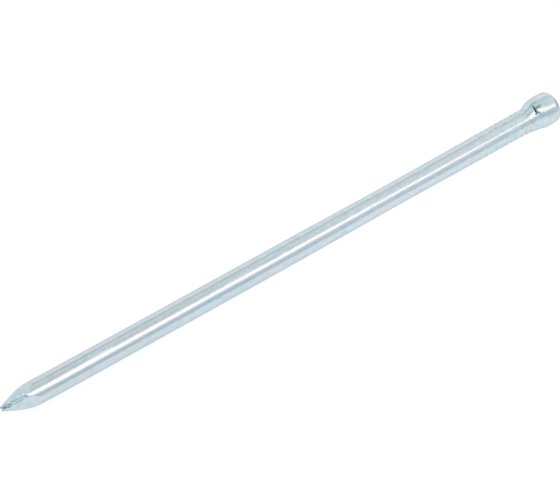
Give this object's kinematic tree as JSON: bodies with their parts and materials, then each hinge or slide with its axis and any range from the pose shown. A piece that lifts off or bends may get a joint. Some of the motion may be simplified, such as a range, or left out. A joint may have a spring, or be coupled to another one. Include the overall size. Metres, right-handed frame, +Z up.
{
  "type": "lost-head nail",
  "caption": "Round wire nail with a small bullet head on a flared neck, grip marks under the head and a diamond point.",
  "frame": {"origin": "centre of the head's flat end face, on the nail's axis", "axes": "+X along the nail from the point to the head, and out of the head's end face; +Z up, with the nail lying down"},
  "size_m": [0.08, 0.004, 0.004],
  "materials": {
    "zinc_plated_steel": "bright zinc plate, pale bluish silver, glossy with faint lengthwise drawing lines"
  },
  "bodies": {
    "root": {"nail": "zinc_plated_steel"}
  },
  "joints": []
}
